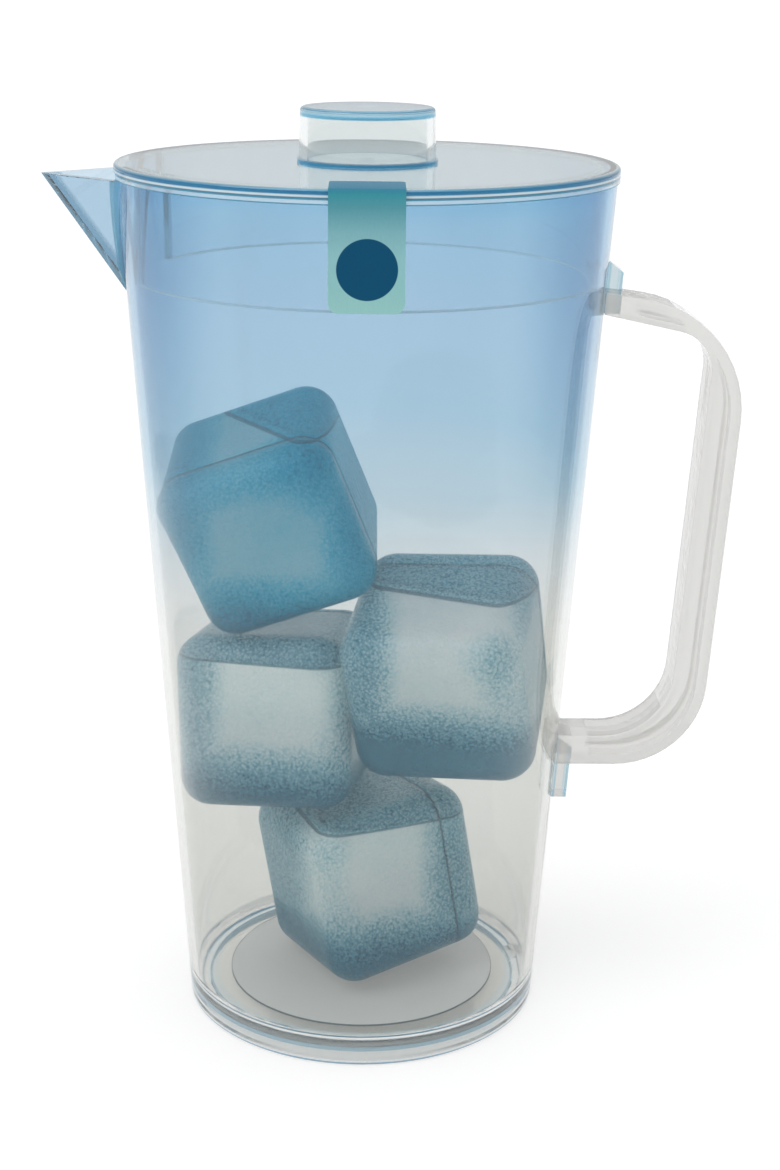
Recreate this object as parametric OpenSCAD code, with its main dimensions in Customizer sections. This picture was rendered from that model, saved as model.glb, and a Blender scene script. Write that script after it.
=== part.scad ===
// Tapered clear water jug with a triangular spout, a separate handle, a lid with a plug
// skirt and a hollow knob, and four loose water-filled ice cubes lying inside.
// Units: millimetres. Origin: centre of the foot on the table. +Z up, spout towards -X,
// handle towards +X.

/* [Jug] */
// Outer radius of the foot
foot_r = 51.5; // [48:0.5:56]
// Outer radius of the wall at the rim
rim_r = 67.5; // [65:0.5:74]
// Height of the rim
jug_h = 242.8; // [236:0.2:280]
// Thickness of the wall
wall_t = 2.3; // [1.6:0.1:2.6]
// Depth of the recess under the floor
recess_h = 4; // [2:0.5:6]
// Width of the foot ring around the recess
ring_w = 5.5; // [4:0.5:8]
// Thickness of the floor
floor_t = 2.2; // [1.6:0.1:4]
// Radius of the fillet between floor and wall
floor_fillet = 4.5; // [2:0.5:6]
// Width of the drain notch in the foot ring
notch_w = 8; // [4:1:14]
// Height of the drain notch
notch_h = 1.5; // [0.5:0.5:2]
// Bearing of the drain notch
notch_bearing = 12; // [0:1:60]
// How far the rim lip stands out from the wall
lip_out = 0.5; // [0.3:0.1:0.8]
// Height of the rim lip
lip_h = 1.6; // [1:0.1:3]
// Radius of the small round on the foot's lower edges
foot_round = 0.8; // [0.4:0.1:1.5]

/* [Spout] */
// How far the tip reaches past the wall
spout_reach = 20.3; // [14:0.1:26]
// Half of the angle that the spout spans at the rim
spout_half_angle = 18; // [12:1:20]
// Height of the spout from its foot to its top edge
spout_drop = 32.5; // [24:0.5:45]
// Thickness of the spout's sides
spout_t = 2; // [1.5:0.1:2.5]
// How much of the sharp tip is cut off
spout_blunt = 0.8; // [0.4:0.1:2]

/* [Base disc] */
// Radius of the disc on the floor
disc_r = 39.4; // [30:0.2:42]
// Thickness of the disc
disc_t = 0.5; // [0.3:0.1:1]

/* [Handle] */
// How far below the rim the handle's upper line meets the wall
handle_below_rim = 31.8; // [30:0.2:45]
// Height of the handle at the wall, over both arms
handle_h = 137.4; // [115:0.2:150]
// Thickness of the upper arm at the wall
upper_arm_t = 5.8; // [4.5:0.1:8]
// Thickness of the lower arm
lower_arm_t = 8.8; // [6:0.2:11]
// Clear depth between the wall and the grip
grip_gap = 30.8; // [26:0.2:38]
// Thickness of the grip, measured away from the wall
grip_t = 10; // [7:0.5:13]
// Width of the handle, side to side
grip_w = 14; // [12:0.5:20]
// Slope of the upper arm's top line
arm_top_slope = 8; // [4:1:11]
// Slope of the upper arm's lower line
arm_low_slope = 12; // [8:1:14]
// Radius of the upper outer bend
bend_upper_out = 32; // [24:1:34]
// Radius of the upper inner bend
bend_upper_in = 11; // [6:1:16]
// Radius of the lower outer bend
bend_lower_out = 26; // [18:1:30]
// Radius of the lower inner bend
bend_lower_in = 20; // [12:1:22]
// Thickness of the outer flange
outer_flange_t = 3; // [2:0.2:4]
// Thickness of the inner flange
inner_flange_t = 1.8; // [1.2:0.2:3]
// Thickness of the web between the flanges
web_t = 4; // [2.5:0.5:7]
// Length of the solid end of each arm
arm_end = 9; // [8:0.5:14]

/* [Handle lugs] */
// How far each lug stands out from the wall
lug_d = 4.1; // [3:0.1:5]
// Width of each lug
lug_w = 9; // [6:0.5:9.5]
// Height of the upper lug above the upper arm
upper_lug_over = 8.4; // [5:0.2:11]
// Length of the lower lug below the lower arm
lower_lug_under = 11.5; // [8:0.5:18]
// Height of the ramp on top of each lug
lug_ramp = 3; // [2:0.5:4]
// Thickness of the lower arm left over the lower lug
lug_roof = 1.2; // [1:0.1:2]
// Clearance between the handle and what it fits over
handle_gap = 0.15; // [0.1:0.05:0.3]

/* [Lid] */
// Thickness of the lid plate
lid_t = 2.2; // [1.8:0.1:3]
// Radius of the round on the plate's top edge
lid_round = 1; // [0.5:0.1:1.5]
// Depth of the plug skirt
skirt_h = 28; // [20:0.5:32]
// Thickness of the plug skirt
skirt_t = 1.8; // [1.4:0.1:2.5]
// Clearance between the skirt and the wall at the skirt's foot
skirt_gap = 0.4; // [0.3:0.05:1]
// Half of the angle of the pour gap in the skirt
pour_half_angle = 20; // [16:1:28]
// Height of the boss that centres the knob
boss_h = 0.8; // [0.6:0.1:2.5]
// Clearance around the boss
boss_gap = 0.3; // [0.2:0.05:0.5]

/* [Knob] */
// Outer radius of the knob at its foot
knob_r = 18.5; // [15:0.1:24]
// Height of the knob
knob_h = 14.5; // [10:0.5:22]
// How much the radius shrinks towards the top
knob_taper = 0.3; // [0:0.1:1]
// Thickness of the knob's wall
knob_t = 2.2; // [1.6:0.1:3]
// Thickness of the knob's top
knob_top_t = 2.4; // [1.6:0.1:3.5]
// Height of the knob's small foot flange
knob_flange_h = 0.9; // [0.6:0.1:1.5]
// How far that flange stands out
knob_flange_out = 0.5; // [0.3:0.1:1]
// Radius of the round on the knob's top edge
knob_round = 1.2; // [0.5:0.1:2]

/* [Hang strip] */
// Width of the paper strip
strip_w = 18.6; // [12:0.2:26]
// Thickness of the strip
strip_t = 0.35; // [0.3:0.05:0.6]
// Length of the flap on top of the lid
strip_flap = 16; // [8:0.5:22]
// How far the strip hangs below the top of the lid
strip_drop = 29.5; // [20:0.5:36]
// Clearance between the hanging strip and the rim
strip_gap = 0.3; // [0.3:0.05:0.6]
// Radius of the strip's lower corners
strip_corner = 2.5; // [1:0.5:5]
// Radius of the flap's corners
flap_corner = 1.5; // [0.5:0.5:3]

/* [Ice cubes] */
// Room that two cubes side by side leave across the hollow, at its middle height
ice_room = 12.8; // [10:0.2:24]
// Radius of the cubes' edges
ice_edge_r = 9.2; // [6:0.2:12]
// Thickness of the cubes' shell
ice_shell = 1.6; // [1.2:0.1:2.4]
// Depth of the shallow half, up to the seam
ice_cap_h = 11.5; // [10:0.5:18]
// Share of each cube's inner height that is filled
ice_fill = 0.9; // [0.5:0.01:0.95]
// Clearance between the filling and the shell
fill_gap = 0.1; // [0.1:0.05:0.3]
// Radius of the filling plug's head
plug_r = 2.6; // [2:0.1:3.5]
// Radius of the filling plug's stem
plug_stem_r = 1.6; // [1.2:0.1:1.8]
// Clearance around the plug
plug_gap = 0.05; // [0.03:0.01:0.1]
// Clearance between a cube and what it lies against
rest_gap = 0.3; // [0.3:0.05:0.6]

/* [Hidden] */

$fn = 96;
arc_steps = 12;
far = 200;
// How far a cut runs past what it cuts
past = 1;

clear_blue = [0.55, 0.72, 0.84, 0.5];
clear_grey = [0.84, 0.85, 0.83, 0.6];
lid_grey = [0.78, 0.83, 0.84, 0.6];
frost_white = [0.86, 0.89, 0.89];
strip_teal = [0.45, 0.68, 0.68];
ice_blue = [0.42, 0.58, 0.66, 0.8];
water_blue = [0.62, 0.76, 0.80, 0.8];

// The wall is a cone: its outer and inner radius at a height
wall_slope = (rim_r - foot_r) / jug_h;
wall_lean = atan(wall_slope);
function wall_out(z) = foot_r + wall_slope * z;
function wall_in(z) = wall_out(z) - wall_t;

floor_top = recess_h + floor_t;
lip_z = jug_h - lip_h;
lid_r = rim_r + lip_out;
lid_top = jug_h + lid_t;
disc_top = floor_top + disc_t;

// ---------------------------------------------------------------- outline helpers

function unit(v) = v / norm(v);
function flip(list) = [for (i = [len(list) - 1 : -1 : 0]) list[i]];

// Points of a round of radius r at corner q, between the lines to p and to s
function bend(p, q, s, r) =
    let (u = unit(p - q), v = unit(s - q), half = acos(u * v) / 2)
    let (c = q + unit(u + v) * r / sin(half))
    let (a = q + u * r / tan(half) - c, b = q + v * r / tan(half) - c)
    let (from = atan2(a[1], a[0]), turn = atan2(a[0] * b[1] - a[1] * b[0], a * b))
    [for (i = [0 : arc_steps]) c + r * [cos(from + turn * i / arc_steps),
                                        sin(from + turn * i / arc_steps)]];

// Corner q moved sideways by t, to the right of the way from p to s
function shifted_corner(p, q, s, t) =
    let (d1 = unit(q - p), d2 = unit(s - q))
    let (n1 = [d1[1], -d1[0]], n2 = [d2[1], -d2[0]])
    q + t * (n1 + n2) / (1 + n1 * n2);
function shifted_end(p, q, at, t) =
    let (d = unit(q - p)) at + t * [d[1], -d[0]];

// A line through four corners, moved sideways by t, with rounds r1 and r2
function bent_line(c, r1, r2, t) =
    let (c0 = shifted_end(c[0], c[1], c[0], t), c1 = shifted_corner(c[0], c[1], c[2], t))
    let (c2 = shifted_corner(c[1], c[2], c[3], t), c3 = shifted_end(c[2], c[3], c[3], t))
    concat([c0], bend(c0, c1, c2, r1 - t), bend(c1, c2, c3, r2 - t), [c3]);

// A plate of thickness t, upright in the XZ plane and centred on it
module upright(points, t) {
    translate([0, t / 2, 0]) rotate([90, 0, 0]) linear_extrude(t) polygon(points);
}

// A flat plate w by h in the corner of the XY plane, with its two corners at y = 0 rounded
module rounded_plate(w, h, r, t) {
    linear_extrude(t) union() {
        for (x = [r, w - r]) translate([x, r]) circle(r);
        translate([r, 0]) square([w - 2 * r, h]);
        translate([0, r]) square([w, h - r]);
    }
}

// ---------------------------------------------------------------- jug

ring_in = foot_r - ring_w;
fillet_z = floor_top + floor_fillet;
fillet_x = wall_in(fillet_z) - floor_fillet / cos(wall_lean);

// Half section of the jug: recess, foot, wall, rim lip and inside
jug_section = concat(
    [[0, recess_h], [ring_in, recess_h], [ring_in, foot_round], [ring_in + foot_round, 0],
     [foot_r - foot_round, 0], [wall_out(foot_round), foot_round],
     [wall_out(lip_z), lip_z], [lid_r, lip_z], [lid_r, jug_h], [wall_in(jug_h), jug_h]],
    [for (i = [0 : arc_steps])
        let (a = -wall_lean - (90 - wall_lean) * i / arc_steps)
        [fillet_x + floor_fillet * cos(a), fillet_z + floor_fillet * sin(a)]],
    [[0, floor_top]]);

// The spout is a prow: two flat sides that run from the tip into the wall
spout_foot_z = lip_z - spout_drop;
spout_apex = [-(wall_out(lip_z) + spout_reach + spout_blunt), 0, lip_z];
spout_foot = [-wall_out(spout_foot_z), 0, spout_foot_z];
function spout_root(side) = wall_out(lip_z) * [-cos(spout_half_angle), side * sin(spout_half_angle), 0]
                            + [0, 0, lip_z];

// How far the sides run on past the wall's outside, as a share of their length: the outer
// faces end inside the wall, and the inner ones run through it
spout_sink = 1.05;
spout_through = 1.3;
function spout_point(corner, run) = spout_apex + run * (corner - spout_apex);

module spout_outside() {
    spout_root_x = spout_root(1)[0] - spout_apex[0];
    blunt = spout_blunt / spout_root_x;
    polyhedron([spout_point(spout_root(-1), blunt), spout_point(spout_root(1), blunt),
                spout_point(spout_root(-1), spout_sink), spout_point(spout_root(1), spout_sink),
                spout_point(spout_foot, spout_sink)],
               [[0, 1, 3, 2], [4, 1, 0], [2, 4, 0], [4, 3, 1], [3, 4, 2]]);
}

// The inside is the same prow moved back by the thickness of its sides, and it runs up
// through the rim
spout_side = unit(cross(spout_root(1) - spout_apex, spout_foot - spout_apex));
spout_shift = [spout_t / abs(spout_side[0]), 0, 0];

module spout_inside() {
    apex = spout_apex + spout_shift;
    left = spout_point(spout_root(-1), spout_through) + spout_shift;
    right = spout_point(spout_root(1), spout_through) + spout_shift;
    foot = spout_point(spout_foot, spout_through) + spout_shift;
    up = [0, 0, 2 * lip_h];
    polyhedron([apex, left, right, foot, apex + up, left + up, right + up],
               [[6, 5, 4], [2, 6, 4, 0], [4, 5, 1, 0], [5, 6, 2, 1], [3, 2, 0], [1, 3, 0], [2, 3, 1]]);
}

module drain_notch() {
    rotate([0, 0, notch_bearing])
        translate([ring_in - past, -notch_w / 2, -past])
            cube([ring_w + 2 * past, notch_w, notch_h + past]);
}

// ---------------------------------------------------------------- handle and lugs

upper_z = jug_h - handle_below_rim;
lower_z = upper_z - handle_h;
upper_under_z = upper_z - upper_arm_t;
lower_over_z = lower_z + lower_arm_t;
grip_out = grip_gap + grip_t;
upper_lug_top = upper_z + upper_lug_over;
lower_lug_top = lower_over_z - lug_roof - handle_gap;
lower_lug_foot = lower_z - lower_lug_under;

// Where a line that leaves the wall at height z, falling at an angle, meets the line that
// stands off the wall by out
function grip_meets(z, fall, out) =
    let (dx = out / (1 + wall_slope * tan(fall)))
    [wall_out(z) + dx, z - dx * tan(fall)];

// How far the handle's lines start inside the wall, before the wall is cut off them
start_in = 6;
outer_line = [[wall_out(upper_z) - start_in, upper_z + start_in * tan(arm_top_slope)],
              grip_meets(upper_z, arm_top_slope, grip_out),
              grip_meets(lower_z, 0, grip_out),
              [wall_out(lower_z) - start_in, lower_z]];
inner_line = [[wall_out(upper_under_z) - start_in, upper_under_z + start_in * tan(arm_low_slope)],
              grip_meets(upper_under_z, arm_low_slope, grip_gap),
              grip_meets(lower_over_z, 0, grip_gap),
              [wall_out(lower_over_z) - start_in, lower_over_z]];

// The outer flange grows inwards and the inner flange grows outwards
function outer_edge(t) = bent_line(outer_line, bend_upper_out, bend_lower_out, t);
function inner_edge(t) = bent_line(inner_line, bend_upper_in, bend_lower_in, -t);

// Side view of a lug, sunk into the wall, grown by g for its socket
module lug(foot_z, top_z, g) {
    sunk = wall_t / 2;
    upright([[wall_out(foot_z) - sunk, foot_z - g], [wall_out(foot_z) + lug_d + g, foot_z - g],
             [wall_out(top_z - lug_ramp) + lug_d + g, top_z - lug_ramp + g],
             [wall_out(top_z) + g, top_z + g], [wall_out(top_z) - sunk, top_z + g]], lug_w + 2 * g);
}

module lugs() {
    lug(upper_under_z, upper_lug_top, 0);
    lug(lower_lug_foot, lower_lug_top, 0);
}

// The sockets slide down over the lugs: the upper one is open at both ends, and the lower
// one has a roof
module lug_sockets() {
    lug(upper_under_z - lug_d, upper_lug_top, handle_gap);
    lug(lower_lug_foot, lower_lug_top, handle_gap);
}

module wall_cone(g) {
    cylinder(r1 = foot_r + g, r2 = rim_r + g, h = jug_h);
}

module pitcher_body() {
    color(clear_blue) difference() {
        union() {
            rotate_extrude() polygon(jug_section);
            spout_outside();
            lugs();
        }
        spout_inside();
        drain_notch();
    }
}

module base_disc() {
    color(frost_white) translate([0, 0, floor_top]) cylinder(r = disc_r, h = disc_t);
}

module handle() {
    end_x = wall_out(upper_z) + arm_end;
    low_end_x = wall_out(lower_z) + arm_end;
    profile = concat(outer_edge(0), flip(inner_edge(0)));
    color(clear_grey) difference() {
        union() {
            upright(profile, web_t);
            upright(concat(outer_edge(0), flip(outer_edge(outer_flange_t))), grip_w);
            upright(concat(inner_edge(0), flip(inner_edge(inner_flange_t))), grip_w);
            intersection() {
                upright(profile, grip_w);
                union() {
                    translate([0, -grip_w, upper_under_z - grip_w]) cube([end_x, 2 * grip_w, far]);
                    translate([0, -grip_w, lower_z - grip_w])
                        cube([low_end_x, 2 * grip_w, lower_arm_t + 2 * grip_w]);
                }
            }
        }
        wall_cone(handle_gap);
        lug_sockets();
    }
}

// ---------------------------------------------------------------- lid

skirt_foot_z = jug_h - skirt_h;
skirt_r = wall_in(skirt_foot_z) - skirt_gap;
knob_in_r = knob_r - knob_t;
boss_r = knob_in_r - boss_gap;

// The wedge cut out of the skirt, towards the spout
module pour_gap() {
    reach = 2 * skirt_r;
    translate([0, 0, skirt_foot_z - past]) linear_extrude(skirt_h + past)
        polygon([[0, 0], reach * [-cos(pour_half_angle), sin(pour_half_angle)], [-reach, 0],
                 reach * [-cos(pour_half_angle), -sin(pour_half_angle)]]);
}

module lid() {
    color(lid_grey) union() {
        rotate_extrude() polygon(concat(
            [[0, jug_h], [lid_r, jug_h]],
            [for (i = [0 : arc_steps]) let (a = 90 * i / arc_steps)
                [lid_r - lid_round * (1 - cos(a)), lid_top - lid_round * (1 - sin(a))]],
            [[boss_r, lid_top], [boss_r, lid_top + boss_h], [0, lid_top + boss_h]]));
        difference() {
            translate([0, 0, skirt_foot_z]) cylinder(r = skirt_r, h = skirt_h + lid_t / 2);
            translate([0, 0, skirt_foot_z - past])
                cylinder(r = skirt_r - skirt_t, h = skirt_h + lid_t + past);
            pour_gap();
        }
    }
}

module lid_knob() {
    top = lid_top + knob_h;
    top_r = knob_r - knob_taper;
    color(clear_grey) rotate_extrude() polygon(concat(
        [[knob_in_r, lid_top], [knob_r + knob_flange_out, lid_top],
         [knob_r + knob_flange_out, lid_top + knob_flange_h], [knob_r, lid_top + knob_flange_h]],
        [for (i = [0 : arc_steps]) let (a = 90 * i / arc_steps)
            [top_r - knob_round * (1 - cos(a)), top - knob_round * (1 - sin(a))]],
        [[0, top], [0, top - knob_top_t], [knob_in_r - knob_taper, top - knob_top_t]]));
}

// ---------------------------------------------------------------- hang strip

module hang_strip() {
    fold_r = strip_gap + strip_t;
    color(strip_teal) union() {
        // what hangs in front of the rim
        translate([-strip_w / 2, -lid_r - strip_gap, lid_top - strip_drop]) rotate([90, 0, 0])
            rounded_plate(strip_w, strip_drop - strip_gap, strip_corner, strip_t);
        // the fold over the plate's edge
        translate([-strip_w / 2, -lid_r, lid_top - strip_gap]) rotate([90, 0, 90])
            linear_extrude(strip_w) intersection() {
                difference() {
                    circle(fold_r);
                    circle(strip_gap);
                }
                translate([-fold_r, 0]) square(fold_r);
            }
        // the flap on the plate
        translate([strip_w / 2, strip_flap - lid_r, lid_top]) rotate([0, 0, 180])
            rounded_plate(strip_w, strip_flap, flap_corner, strip_t);
    }
}

// ---------------------------------------------------------------- ice cubes

// Each cube is laid down in turn, from the bottom up: how it is turned, and either its
// place on the floor or the bearing at which it leans on the wall. Its height follows from
// what it lands on: the floor or the cubes that lie there already.
ice_turn = [[8.5, -4.5, -62.5], [-5, -3, -11.5], [19, -4, -15], [14, -20, -5]];
ice_1_place = [1.8, 5.3];
ice_bearing = [0, 167.5, -21.5, 174.5];
// Which face of each cube carries the shallow half: 1 for the one that is turned away from
// the front, -1 for the front one
ice_cap_side = [1, 1, 1, -1];

// Width of each cube
ice_w = wall_in(jug_h / 2) - ice_room / 2;
ice_core = ice_w / 2 - ice_edge_r;
signs = [-1, 1];
corner_signs = [for (a = signs, b = signs, c = signs) [a, b, c]];

// The cube's own axes as seen from the jug
function turned_axes(t) =
    let (cx = cos(t[0]), sx = sin(t[0]), cy = cos(t[1]), sy = sin(t[1]), cz = cos(t[2]), sz = sin(t[2]))
    [[cz * cy, sz * cy, -sy],
     [cz * sy * sx - sz * cx, sz * sy * sx + cz * cx, cy * sx],
     [cz * sy * cx + sz * sx, sz * sy * cx - cz * sx, cy * cx]];

function spread(axes, n) = ice_core * (abs(axes[0] * n) + abs(axes[1] * n) + abs(axes[2] * n));
function reach_down(axes) = spread(axes, [0, 0, 1]) + ice_edge_r;
function lying_on_floor(axes) = disc_top + rest_gap + reach_down(axes);

// How far from the middle a cube's centre stands when it leans on the wall at a bearing
function leaning_out(axes, z, bearing) =
    let (dir = [cos(bearing), sin(bearing)])
    min([for (s = corner_signs)
        let (c = ice_core * (s * axes))
        let (room = wall_in(z + c[2]) - (ice_edge_r + rest_gap) / cos(wall_lean))
        let (along = c[0] * dir[0] + c[1] * dir[1], across2 = c[0] * c[0] + c[1] * c[1] - along * along)
        sqrt(max(0, room * room - across2)) - along]);

// The directions in which two boxes can be apart: their faces and their crossed edges
function parting_ways(a, b) = concat(a, b,
    [for (u = a, v = b) let (c = cross(u, v)) if (norm(c) > 0.02) unit(c)]);

// Height at which cube b, above the point at, comes to rest on cube a lying at low
function resting_on(low, a, at, b) =
    let (dx = at[0] - low[0], dy = at[1] - low[1])
    let (spans = [for (way = parting_ways(a, b))
        let (n = way[2] < 0 ? -way : way)
        let (apart = spread(a, n) + spread(b, n) + 2 * ice_edge_r + rest_gap, side = n[0] * dx + n[1] * dy)
        n[2] > 0.0001 ? [(-apart - side) / n[2], (apart - side) / n[2]]
                      : abs(side) < apart ? [-far, far] : [far, -far]])
    let (lowest = max([for (s = spans) s[0]]), highest = min([for (s = spans) s[1]]))
    lowest < highest ? low[2] + highest : 0;

function leaning_at(axes, z, bearing) = leaning_out(axes, z, bearing) * [cos(bearing), sin(bearing)];

// Lets a cube down at a bearing. Its place on the wall and its height depend on each other,
// so each round goes half of the way that is left
function laid(i, lower, z, rounds) =
    let (axes = turned_axes(ice_turn[i]), at = leaning_at(axes, z, ice_bearing[i]))
    let (rest_z = max(concat([lying_on_floor(axes)],
        [for (k = [0 : len(lower) - 1]) resting_on(lower[k], turned_axes(ice_turn[k]), at, axes)])))
    rounds > 0 ? laid(i, lower, (z + rest_z) / 2, rounds - 1) : [at[0], at[1], rest_z];

settle_rounds = 16;
ice_1_at = [ice_1_place[0], ice_1_place[1], lying_on_floor(turned_axes(ice_turn[0]))];
ice_2_at = laid(1, [ice_1_at], ice_1_at[2] + ice_w, settle_rounds);
ice_3_at = laid(2, [ice_1_at, ice_2_at], ice_2_at[2] + ice_w / 3, settle_rounds);
ice_4_at = laid(3, [ice_1_at, ice_2_at, ice_3_at], ice_2_at[2] + ice_w, settle_rounds);
ice_at = [ice_1_at, ice_2_at, ice_3_at, ice_4_at];

outside_steps = 24;
inside_steps = 16;

// A cube with round edges, its outside or what lies inset within it
module round_cube(inset, steps) {
    r = ice_edge_r - inset;
    hull() for (s = corner_signs) translate(ice_core * s) sphere(r, $fn = steps);
}

// Everything beyond the seam of cube i, on the side of its shallow half
module cap_part(i) {
    translate([0, ice_cap_side[i] * (ice_w - ice_cap_h), 0])
        cube([2 * ice_w, ice_w, 2 * ice_w], center = true);
}

// Places a piece of cube i where the cube lies
module at_ice(i) {
    translate(ice_at[i]) rotate(ice_turn[i]) children();
}

// The plug sits in the tub's lower face, near the corner beside the seam
plug_head_t = ice_shell / 2;
module at_plug(i) {
    from_seam = ice_w / 2 - ice_cap_h - 2 * plug_r;
    translate([ice_core - plug_r, ice_cap_side[i] * from_seam, -ice_w / 2]) children();
}

module ice_shell_part(i) {
    difference() {
        round_cube(0, outside_steps);
        round_cube(ice_shell, inside_steps);
    }
}

module ice_tub(i) {
    color(ice_blue) at_ice(i) difference() {
        ice_shell_part(i);
        cap_part(i);
        at_plug(i) translate([0, 0, -past])
            cylinder(r = plug_r + plug_gap, h = plug_head_t + past);
        at_plug(i) cylinder(r = plug_stem_r + plug_gap, h = ice_shell + past);
    }
}

module ice_cap(i) {
    color(ice_blue) at_ice(i) intersection() {
        ice_shell_part(i);
        cap_part(i);
    }
}

// The filling keeps its surface level, however the cube is turned
module ice_water(i) {
    inside = reach_down(turned_axes(ice_turn[i])) - ice_shell;
    level = ice_at[i][2] + inside * (2 * ice_fill - 1);
    color(water_blue) intersection() {
        at_ice(i) round_cube(ice_shell + fill_gap, inside_steps);
        translate([ice_at[i][0] - ice_w, ice_at[i][1] - ice_w, level - 3 * ice_w])
            cube([2 * ice_w, 2 * ice_w, 3 * ice_w]);
    }
}

module ice_plug(i) {
    color(frost_white) at_ice(i) at_plug(i) union() {
        cylinder(r = plug_r, h = plug_head_t);
        cylinder(r = plug_stem_r, h = ice_shell);
    }
}

pitcher_body();
base_disc();
handle();
lid();
lid_knob();
hang_strip();
ice_tub(0);  // ice_1_tub
ice_cap(0);  // ice_1_cap
ice_water(0);  // ice_1_water
ice_plug(0);  // ice_1_plug
ice_tub(1);  // ice_2_tub
ice_cap(1);  // ice_2_cap
ice_water(1);  // ice_2_water
ice_plug(1);  // ice_2_plug
ice_tub(2);  // ice_3_tub
ice_cap(2);  // ice_3_cap
ice_water(2);  // ice_3_water
ice_plug(2);  // ice_3_plug
ice_tub(3);  // ice_4_tub
ice_cap(3);  // ice_4_cap
ice_water(3);  // ice_4_water
ice_plug(3);  // ice_4_plug
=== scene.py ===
"""Looks of the clear water pitcher with loose ice cubes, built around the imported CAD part.

Metres throughout, in the frame of the part: Z up, spout towards -X, handle towards +X.
"""
import math

import bmesh
import bpy
from mathutils import Matrix, Vector


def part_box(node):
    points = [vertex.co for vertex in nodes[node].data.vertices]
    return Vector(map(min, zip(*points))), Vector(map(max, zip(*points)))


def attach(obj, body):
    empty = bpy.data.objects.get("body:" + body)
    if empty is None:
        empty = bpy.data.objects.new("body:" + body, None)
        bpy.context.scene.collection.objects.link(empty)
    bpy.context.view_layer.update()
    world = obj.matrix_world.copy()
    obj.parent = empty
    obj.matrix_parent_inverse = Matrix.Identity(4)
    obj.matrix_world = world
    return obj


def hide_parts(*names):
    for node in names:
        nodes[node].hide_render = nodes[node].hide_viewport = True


MM = 0.001
scene = bpy.context.scene

# ------------------------------------------------------------------ camera

SENSOR_MM = 36.0
FOCAL_PX, PHOTO_HEIGHT_PX = 2038.0, 1170.0
CAMERA_PITCH = math.radians(17.38)
CAMERA_YAW = math.radians(0.757)
CAMERA_ROLL = math.radians(0.656)
CAMERA_AT = Vector((0.0, -557.6 * MM, 300.1 * MM))


def make_camera():
    """The photograph's view: from the front, a little above, with a slight roll."""
    ahead = math.cos(CAMERA_PITCH)
    forward = Vector((math.sin(CAMERA_YAW) * ahead, math.cos(CAMERA_YAW) * ahead, -math.sin(CAMERA_PITCH)))
    right = Vector((math.cos(CAMERA_YAW), -math.sin(CAMERA_YAW), 0.0))
    up = right.cross(forward)
    turned_right = math.cos(CAMERA_ROLL) * right + math.sin(CAMERA_ROLL) * up
    turned_up = math.cos(CAMERA_ROLL) * up - math.sin(CAMERA_ROLL) * right
    data = bpy.data.cameras.new("camera")
    data.sensor_width = SENSOR_MM
    data.lens = FOCAL_PX / PHOTO_HEIGHT_PX * SENSOR_MM
    data.clip_start = 0.01
    data.clip_end = 20.0
    camera = bpy.data.objects.new("camera", data)
    place = Matrix((turned_right, turned_up, -forward)).transposed().to_4x4()
    place.translation = CAMERA_AT
    camera.matrix_world = place
    scene.collection.objects.link(camera)
    scene.camera = camera


make_camera()
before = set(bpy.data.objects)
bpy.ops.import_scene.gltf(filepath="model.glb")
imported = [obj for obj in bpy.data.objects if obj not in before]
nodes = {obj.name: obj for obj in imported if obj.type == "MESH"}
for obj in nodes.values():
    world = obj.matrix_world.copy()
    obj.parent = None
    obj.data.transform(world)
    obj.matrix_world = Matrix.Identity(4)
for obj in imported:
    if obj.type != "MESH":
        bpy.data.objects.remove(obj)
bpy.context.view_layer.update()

# ------------------------------------------------------------------ node tree helpers


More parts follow.
